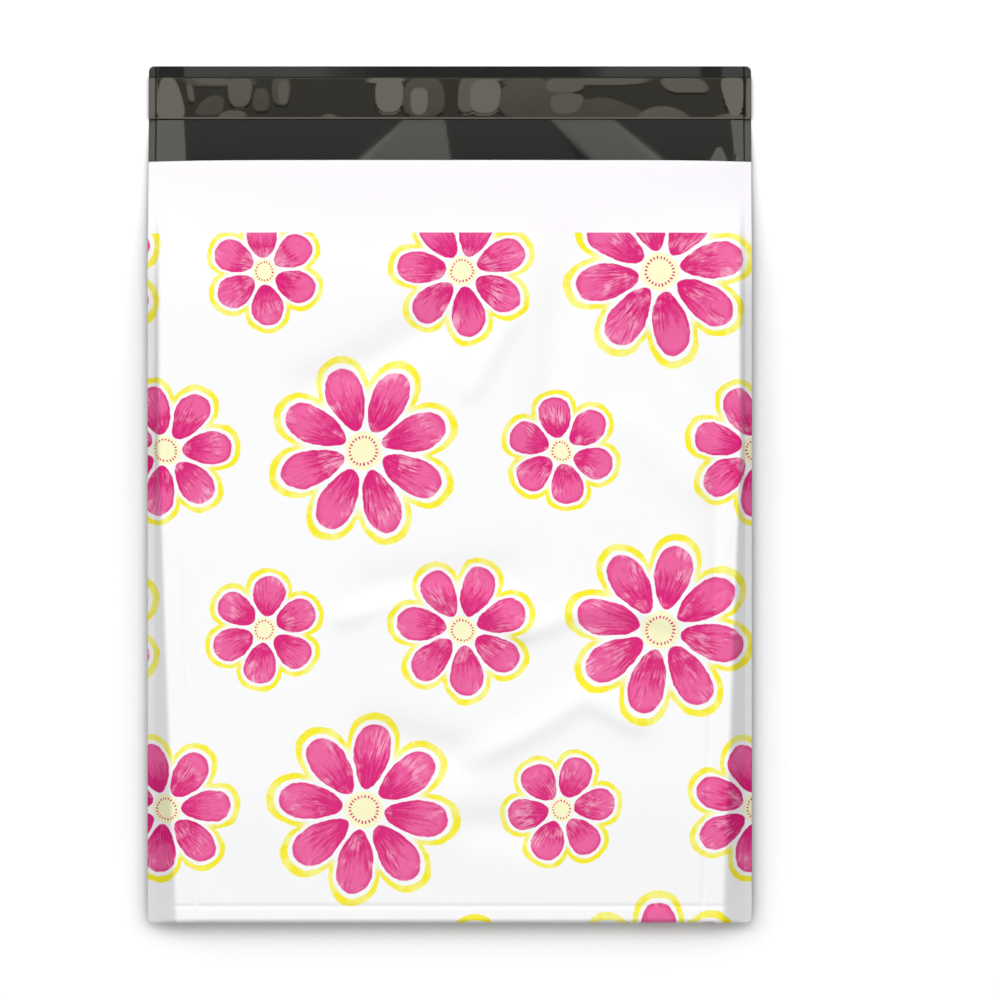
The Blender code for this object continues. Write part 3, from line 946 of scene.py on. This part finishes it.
def print_material():
    """White film with the blossom print, which stops short of the mouth, and painted side shade."""
    material, nodes, shader = new_material("film_print", WHITE_FILM, FILM_ROUGHNESS)
    shader.inputs["Specular IOR Level"].default_value = FILM_SPECULAR
    whole, x, y, _ = nodes.place()

    # The brush's wander
    wander = []
    for place, shift in ((x, 0.0), (y, 7.0)):
        spot = nodes.vector(x, y, shift)
        broad = nodes.noise(spot, scale=85.0)
        broad = nodes.math("MULTIPLY_ADD", broad, WANDER_BROAD, -WANDER_BROAD / 2)
        fine = nodes.noise(spot, scale=420.0)
        fine = nodes.math("MULTIPLY_ADD", fine, WANDER_FINE, -WANDER_FINE / 2)
        wander.append(nodes.math("ADD", place, nodes.math("ADD", broad, fine)))
    group = blossom_group()
    colour = WHITE_FILM
    for radius, petals, columns_on, rows_on in BLOSSOMS:
        node = nodes.add("ShaderNodeGroup", node_tree=group)
        given = {
            "Ground": colour,
            "X": wander[0],
            "Y": wander[1],
            "Start X": PRINT_START_X + columns_on * PRINT_PITCH_X,
            "Start Y": PRINT_START_Y + rows_on * PRINT_PITCH_Y,
            "Radius": radius,
            "Petals": float(petals),
        }
        for name, value in given.items():
            nodes.put(value, node.inputs[name])
        colour = node.outputs["Colour"]
    printed = nodes.math("LESS_THAN", y, MOUTH_Y - UNPRINTED_BAND)
    colour = nodes.mix(printed, UNPRINTED_FILM, colour)

    # Painted shade: the folded sides are darkened in colour, added to the real shade of their slopes
    narrow_y = BOTTOM_Y + NARROW_FROM * POUCH_LENGTH
    width = nodes.ramp(y, BOTTOM_Y, narrow_y, SLOPE_WIDTH_LOW, SLOPE_WIDTH_HIGH)
    past_ridge = nodes.math("ADD", nodes.math("ABSOLUTE", x), width)
    painted_shade_start = INNER_HALF_WIDTH - PAINTED_SHADE_INSIDE
    side = nodes.fade(past_ridge, painted_shade_start, INNER_HALF_WIDTH + PAINTED_SHADE_OUTSIDE)
    below_mouth = nodes.fade(y, MOUTH_Y - PAINTED_SHADE_START, MOUTH_Y - PAINTED_SHADE_FULL)
    side = nodes.math("MULTIPLY", side, below_mouth)
    shade = nodes.mix(side, (1.0, 1.0, 1.0, 1.0), PAINTED_SIDE_SHADE)
    nodes.put(nodes.multiply(colour, shade), shader.inputs["Base Color"])
    film_finish(nodes, whole, shader)
    return material


def mark_seams(nodes, x, colour, gloss, shader):
    """A dull dark line on this colour where the welds end."""
    away = nodes.math("SUBTRACT", nodes.math("ABSOLUTE", x), INNER_HALF_WIDTH)
    line = nodes.fade(nodes.math("ABSOLUTE", away), SEAM_FADED, SEAM_DARKEST)
    nodes.put(nodes.mix(line, colour, SEAM_DARK), shader.inputs["Base Color"])
    dull = nodes.math("MULTIPLY_ADD", line, -SEAM_DULLNESS * gloss, gloss)
    nodes.put(dull, shader.inputs["Specular IOR Level"])


def dark_material():
    """The film's inner side: glossy dark grey."""
    material, nodes, shader = new_material("film_inside", DARK_FILM, 0.13)
    shader.inputs["Specular Tint"].default_value = DARK_TINT
    whole, x, *_ = nodes.place()
    mark_seams(nodes, x, DARK_FILM, DARK_SPECULAR, shader)
    nodes.bump(shader, nodes.noise(whole, scale=90.0), distance=0.05 * MM, strength=0.4)
    return material


def liner_material():
    """Clear film, smoky and warm over the glue and the dark flap."""
    material, nodes, shader = new_material("liner", LINER_SMOKE, 0.10)
    shader.inputs["Specular Tint"].default_value = LINER_TINT
    whole, x, *_ = nodes.place()
    mark_seams(nodes, x, LINER_SMOKE, LINER_SPECULAR, shader)
    nodes.bump(shader, nodes.noise(whole, scale=140.0), distance=0.03 * MM, strength=0.4)
    return material


def glue_material():
    material, nodes, shader = new_material("adhesive", GLUE_AMBER, 0.35)
    whole, *_ = nodes.place()
    grain = nodes.noise(whole, scale=700.0, detail=3.0, roughness=0.6)
    nodes.bump(shader, grain, distance=0.05 * MM, strength=0.6)
    return material


def floor_material():
    """White to the camera and in reflections, with a soft contact shadow, and a duller bounce."""
    material, nodes, shader = new_material("floor", FLOOR_BOUNCE, 0.9)
    shader.inputs["Specular IOR Level"].default_value = 0.0
    rays = nodes.add("ShaderNodeLightPath").outputs
    seen = nodes.math("MAXIMUM", rays["Is Camera Ray"], rays["Is Glossy Ray"])
    seen = nodes.math("MAXIMUM", seen, rays["Is Transmission Ray"])
    contact = nodes.add("ShaderNodeAmbientOcclusion", samples=8)
    contact.inputs["Distance"].default_value = CONTACT_REACH
    contact.inputs["Color"].default_value = FLOOR_WHITE
    nodes.put(nodes.mix(seen, FLOOR_BOUNCE, contact.outputs["Color"]), shader.inputs["Base Color"])
    shader.inputs["Emission Color"].default_value = (1.0, 1.0, 1.0, 1.0)
    nodes.put(nodes.math("MULTIPLY", seen, FLOOR_GLOW), shader.inputs["Emission Strength"])
    return material


# Floor, lamps and camera

SCENE_CENTRE = (21.1 * MM, -2.7 * MM)
FRAME_WIDTH = 421.9 * MM
FLOOR_HALF_SIZE = 3.0
LENS = 100.0
SENSOR = 36.0


def build_floor():
    mesh = bmesh.new()
    bmesh.ops.create_grid(mesh, x_segments=1, y_segments=1, size=FLOOR_HALF_SIZE)
    floor = add_object("floor", mesh, [floor_material()])


def add_softbox(name, place, target, size, radiance):
    """A rectangular lamp as bright as a white surface of this radiance."""
    data = bpy.data.lights.new(name, "AREA")
    data.shape = "RECTANGLE"
    data.size, data.size_y = size
    data.energy = radiance * math.pi * size[0] * size[1]
    lamp = bpy.data.objects.new(name, data)
    lamp.location = place
    lamp.rotation_euler = (Vector(target) - Vector(place)).to_track_quat("-Z", "Y").to_euler()
    bpy.context.scene.collection.objects.link(lamp)
    return lamp


# Softboxes: place, the spot that each faces, its size, and how bright it is beside plain white.
# The flat dark film reflects the dim panel. Where it is tilted, it reflects the brighter ones.
SOFTBOXES = {
    "over_bag": ((0.0, -0.62, 1.6), (0.0, -0.62, 0.0), (2.0, 1.4), 1.5),
    "dim_panel": ((0.0, 0.385, 1.6), (0.0, 0.385, 0.0), (2.6, 0.15), 0.3),
    "low_panel": ((0.0, 0.49, 1.6), (0.0, 0.49, 0.0), (2.6, 0.058), 0.95),
    "middle_panel": ((0.0, 0.565, 1.6), (0.0, 0.565, 0.0), (2.6, 0.092), 1.6),
    "beyond_flap": ((0.0, 1.042, 1.516), (0.0, 0.167, 0.0), (2.6, 0.905), 2.28),
    "beyond_left": ((-2.4, 1.3, 1.45), (0.0, 0.0, 0.0), (2.2, 1.5), 3.15),
    "beyond_right": ((2.4, 1.3, 1.45), (0.0, 0.0, 0.0), (2.2, 1.5), 2.15),
}
ROOM_GREY = (0.15, 0.15, 0.15, 1.0)


def light_scene():
    for name, (place, target, size, radiance) in SOFTBOXES.items():
        add_softbox(name, place, target, size, radiance)
    world = bpy.data.worlds.new("room")
    world.use_nodes = True
    world.node_tree.nodes["Background"].inputs["Color"].default_value = ROOM_GREY
    bpy.context.scene.world = world


def add_camera():
    data = bpy.data.cameras.new("camera")
    data.lens = LENS
    data.sensor_width = SENSOR
    camera = bpy.data.objects.new("camera", data)
    camera.location = (*SCENE_CENTRE, FRAME_WIDTH * LENS / SENSOR)
    bpy.context.scene.collection.objects.link(camera)
    bpy.context.scene.camera = camera


def main():
    bpy.context.scene.view_settings.view_transform = "Standard"
    add_camera()
    light_scene()
    build_floor()

    inside = dark_material()
    film = build_film([print_material(), white_material(), inside, inside])
    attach(film, "root")
    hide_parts("bag_film")
    glue = build_glue(glue_material())
    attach(glue, "root")
    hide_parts("adhesive_strip")
    liner = build_liner(liner_material())
    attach(liner, "root")
    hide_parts("release_liner")


main()
